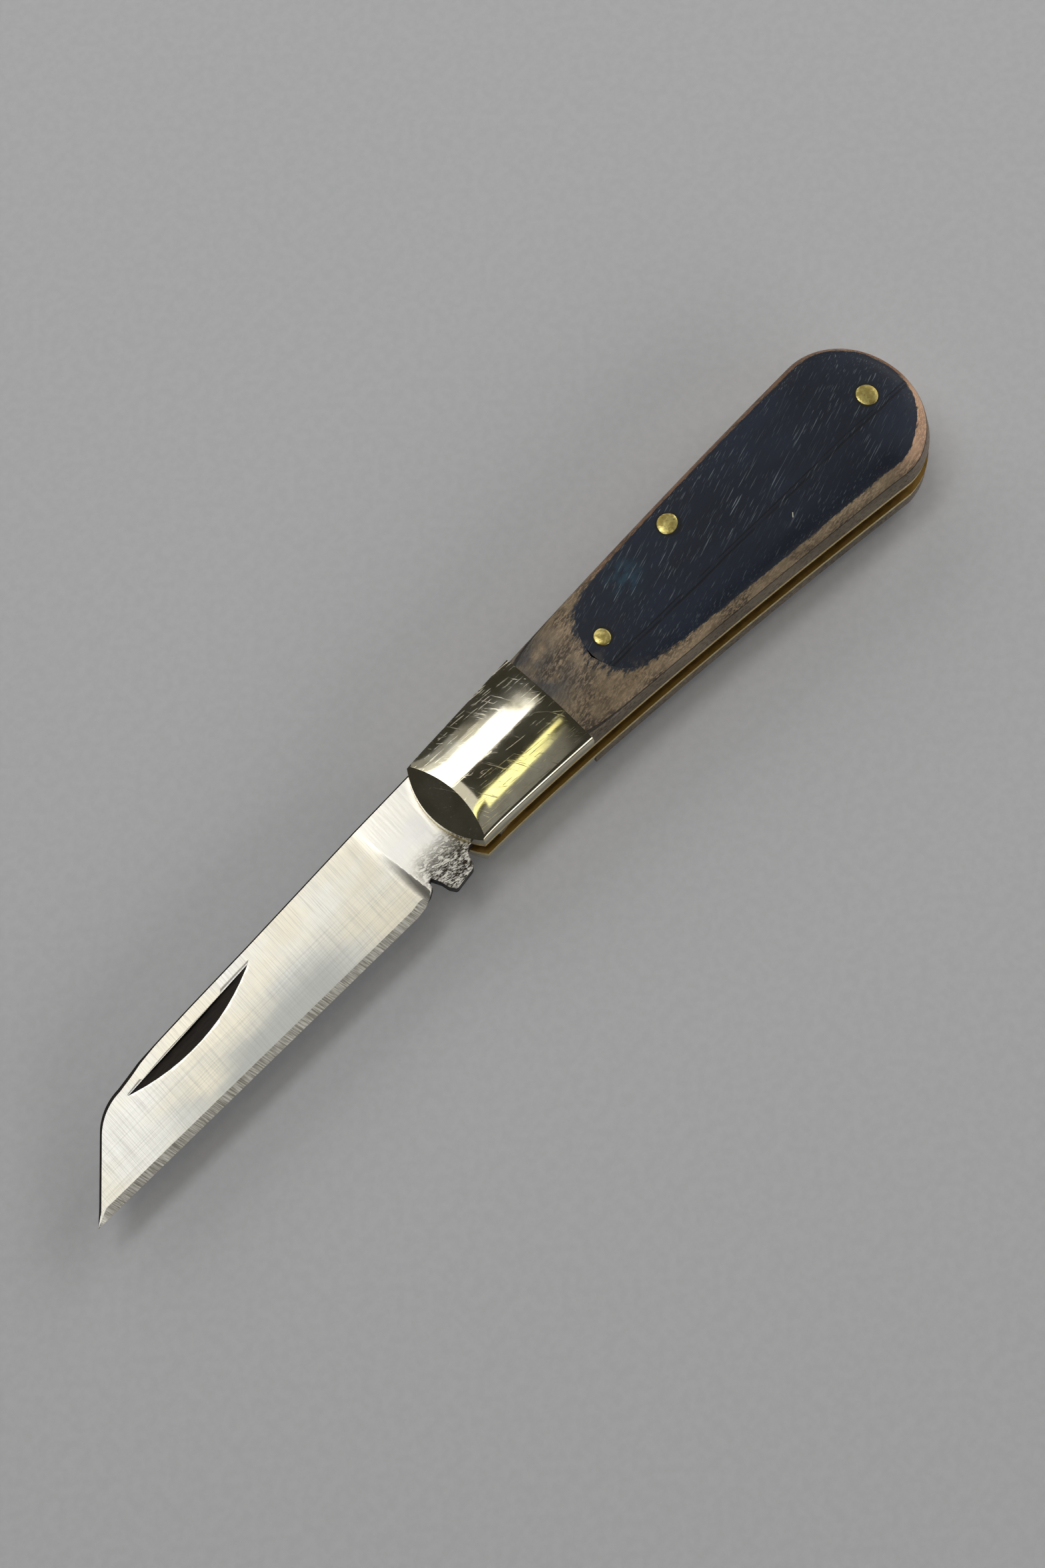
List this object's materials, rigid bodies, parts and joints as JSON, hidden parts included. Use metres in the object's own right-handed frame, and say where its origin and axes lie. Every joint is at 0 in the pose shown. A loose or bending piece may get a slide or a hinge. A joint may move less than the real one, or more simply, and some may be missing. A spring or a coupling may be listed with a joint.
{
  "type": "folding pocket knife",
  "caption": "Slip-joint folding pocket knife with a sheepsfoot blade, domed bolsters, brass liners and crowned scales of laminated wood.",
  "frame": {"origin": "on the face the knife rests on, under the middle of the pile-side scale's flat crown", "axes": "+X from the blade's tip to the butt, +Y from the blade well to the back spring, +Z from the pile side up to the mark side with the nail nick"},
  "size_m": [0.1511, 0.0231, 0.0133],
  "materials": {
    "blade_steel": "satin, fine cross grinding",
    "spring_steel": "satin",
    "liner_brass": "polished edge, light tarnish",
    "nickel_silver": "polished, fine scratches",
    "inner_wood": "satin",
    "middle_wood": "satin, flecked",
    "outer_wood": "satin, dyed",
    "pin_brass": "peened, tarnished",
    "pin_steel": "plain"
  },
  "bodies": {
    "handle": {"back_spring": "spring_steel", "mark_liner": "liner_brass", "pile_liner": "liner_brass", "mark_bolster": "nickel_silver", "pile_bolster": "nickel_silver", "mark_inner_ply": "inner_wood", "mark_middle_ply": "middle_wood", "mark_outer_ply": "outer_wood", "pile_inner_ply": "inner_wood", "pile_middle_ply": "middle_wood", "pile_outer_ply": "outer_wood", "pivot_pin": "pin_steel", "spring_pin": "pin_brass", "end_pin": "pin_brass", "mark_scale_pin": "pin_brass", "pile_scale_pin": "pin_brass", "mark_bolster_rivets": "pin_steel", "pile_bolster_rivets": "pin_steel"},
    "blade": {"blade": "blade_steel"}
  },
  "joints": [
    {"name": "blade_pivot", "type": "hinge", "parent": "handle", "child": "blade", "pos_m": [-0.045, 0.0008, 0.0066], "axis": [0, 0, 1], "range_deg": [0, 172], "deforming": ["back_spring"]}
  ]
}
